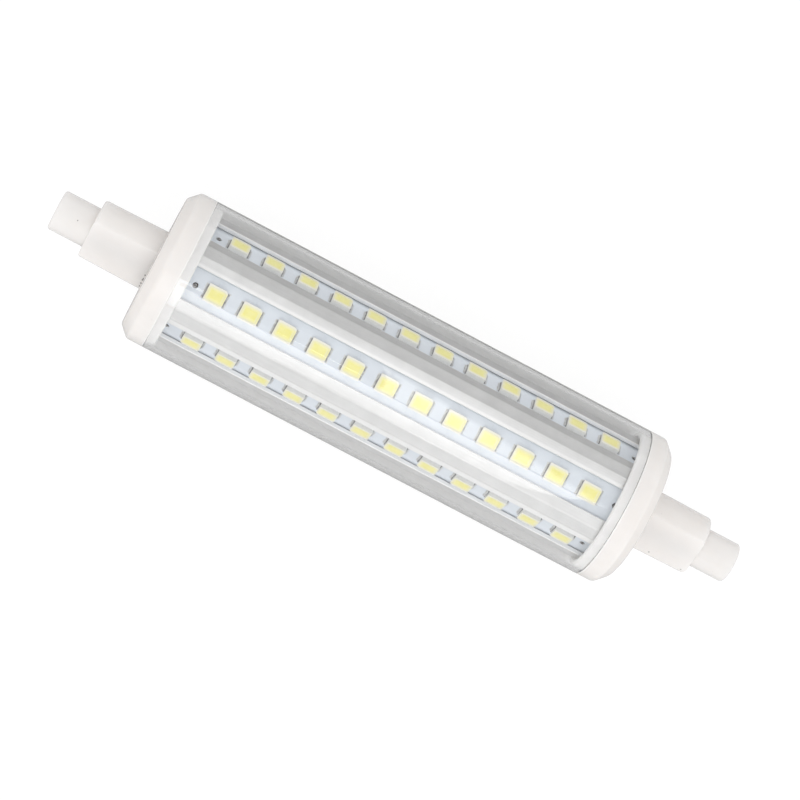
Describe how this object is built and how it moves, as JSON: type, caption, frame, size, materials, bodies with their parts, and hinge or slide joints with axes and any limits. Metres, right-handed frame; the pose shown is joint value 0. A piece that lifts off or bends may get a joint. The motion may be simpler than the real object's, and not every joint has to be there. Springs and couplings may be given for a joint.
{
  "type": "linear led bulb",
  "caption": "Double-ended linear LED bulb: clear tube over a hexagonal aluminium core with LED strips, white necked end caps with recessed contacts.",
  "frame": {"origin": "on the lamp's axis, halfway between the outer faces of its two tips", "axes": "+X along the lamp's axis towards the right end cap, +Z along the normal of led_strip_1"},
  "size_m": [0.118, 0.025, 0.025],
  "materials": {
    "clear_plastic": "clear, smooth",
    "extruded_aluminium": "satin, drawn lines along its length",
    "strip_board": "pale solder mask, satin",
    "led_frame": "white moulded",
    "led_window": "yellow phosphor gel",
    "solder": "tinned, dull",
    "cap_plastic": "warm white, satin moulded",
    "contact_metal": "nickel plated",
    "wire_insulation": "extruded insulation",
    "wire_tinned": "tinned",
    "sleeve_plastic": "pale drawn tube",
    "driver_laminate": "green solder mask",
    "resistor_body": "lacquered",
    "varistor_body": "dipped resin",
    "chip_body": "moulded epoxy",
    "capacitor_sleeve": "shrink sleeve",
    "inductor_core": "ferrite",
    "chip_part_body": "sintered ceramic"
  },
  "bodies": {
    "root": {"bridge_rectifier": "chip_body", "chip_parts": "chip_part_body", "clear_cover": "clear_plastic", "diode": "chip_body", "driver_board": "driver_laminate", "driver_chip": "chip_body", "fuse_resistor": "resistor_body", "heat_sink": "extruded_aluminium", "inductor": "inductor_core", "input_capacitor": "capacitor_sleeve", "insulating_sleeve": "sleeve_plastic", "led_housings_1": "led_frame", "led_housings_2": "led_frame", "led_housings_3": "led_frame", "led_housings_4": "led_frame", "led_housings_5": "led_frame", "led_housings_6": "led_frame", "led_phosphors_1": "led_window", "led_phosphors_2": "led_window", "led_phosphors_3": "led_window", "led_phosphors_4": "led_window", "led_phosphors_5": "led_window", "led_phosphors_6": "led_window", "led_strip_1": "strip_board", "led_strip_2": "strip_board", "led_strip_3": "strip_board", "led_strip_4": "strip_board", "led_strip_5": "strip_board", "led_strip_6": "strip_board", "led_terminals_1": "solder", "led_terminals_2": "solder", "led_terminals_3": "solder", "led_terminals_4": "solder", "led_terminals_5": "solder", "led_terminals_6": "solder", "left_contact": "contact_metal", "left_end_cap": "cap_plastic", "left_feed_wires": "wire_tinned", "left_lead_wire": "wire_insulation", "output_capacitor": "capacitor_sleeve", "right_contact": "contact_metal", "right_end_cap": "cap_plastic", "right_feed_wires": "wire_tinned", "right_lead_wire": "wire_insulation", "solder_joints": "solder", "varistor": "varistor_body"}
  },
  "joints": []
}
